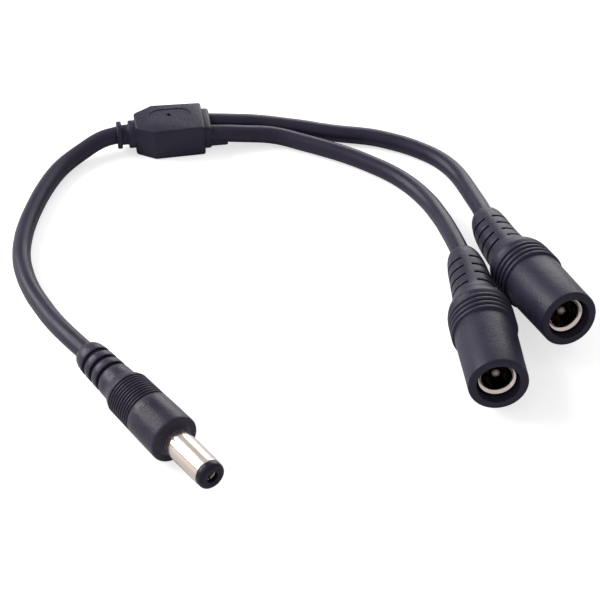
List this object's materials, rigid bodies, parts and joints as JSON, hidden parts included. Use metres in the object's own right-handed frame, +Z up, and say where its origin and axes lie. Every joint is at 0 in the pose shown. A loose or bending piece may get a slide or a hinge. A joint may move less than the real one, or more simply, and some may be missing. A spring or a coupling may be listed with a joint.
{
  "type": "power cord splitter",
  "caption": "Low-voltage power splitter lead: a barrel plug on a round cord, a tapered moulded junction, and branch cords ending in moulded barrel sockets.",
  "frame": {"origin": "On the table under the middle of the junction moulding", "axes": "+X runs through the junction from the trunk cord to the branch cords, +Z is up, and the plug and both sockets point roughly along -Y"},
  "size_m": [0.1094, 0.1174, 0.0149],
  "materials": {
    "black_pvc": "fine matte moulded surface",
    "cord_pvc": "satin extruded jacket",
    "black_plastic": "smooth",
    "nickel": "bright nickel plate",
    "brass": "bare",
    "solder": "dull",
    "red_pvc": "matte",
    "black_core": "matte"
  },
  "bodies": {
    "root": {"junction_moulding": "black_pvc", "junction_splice_positive": "solder", "trunk_core_positive": "red_pvc", "front_branch_core_positive": "red_pvc", "rear_branch_core_positive": "red_pvc", "junction_splice_negative": "solder", "trunk_core_negative": "black_core", "front_branch_core_negative": "black_core", "rear_branch_core_negative": "black_core", "plug_moulding": "black_pvc", "plug_barrel": "nickel", "plug_tip_insulator": "black_plastic", "plug_centre_contact": "brass", "plug_rear_washer": "black_plastic", "plug_sleeve_tag": "brass", "front_socket_moulding": "black_pvc", "front_socket_sleeve": "nickel", "front_socket_insulating_base": "black_plastic", "front_socket_centre_pin": "nickel", "front_socket_sleeve_tag": "brass", "rear_socket_moulding": "black_pvc", "rear_socket_sleeve": "nickel", "rear_socket_insulating_base": "black_plastic", "rear_socket_centre_pin": "nickel", "rear_socket_sleeve_tag": "brass", "plug_core_positive": "red_pvc", "plug_core_negative": "black_core", "plug_solder_positive": "solder", "plug_solder_negative": "solder", "front_socket_core_positive": "red_pvc", "front_socket_core_negative": "black_core", "front_socket_solder_positive": "solder", "front_socket_solder_negative": "solder", "rear_socket_core_positive": "red_pvc", "rear_socket_core_negative": "black_core", "rear_socket_solder_positive": "solder", "rear_socket_solder_negative": "solder", "trunk_cord": "cord_pvc", "front_branch_cord": "cord_pvc", "rear_branch_cord": "cord_pvc"}
  },
  "joints": []
}
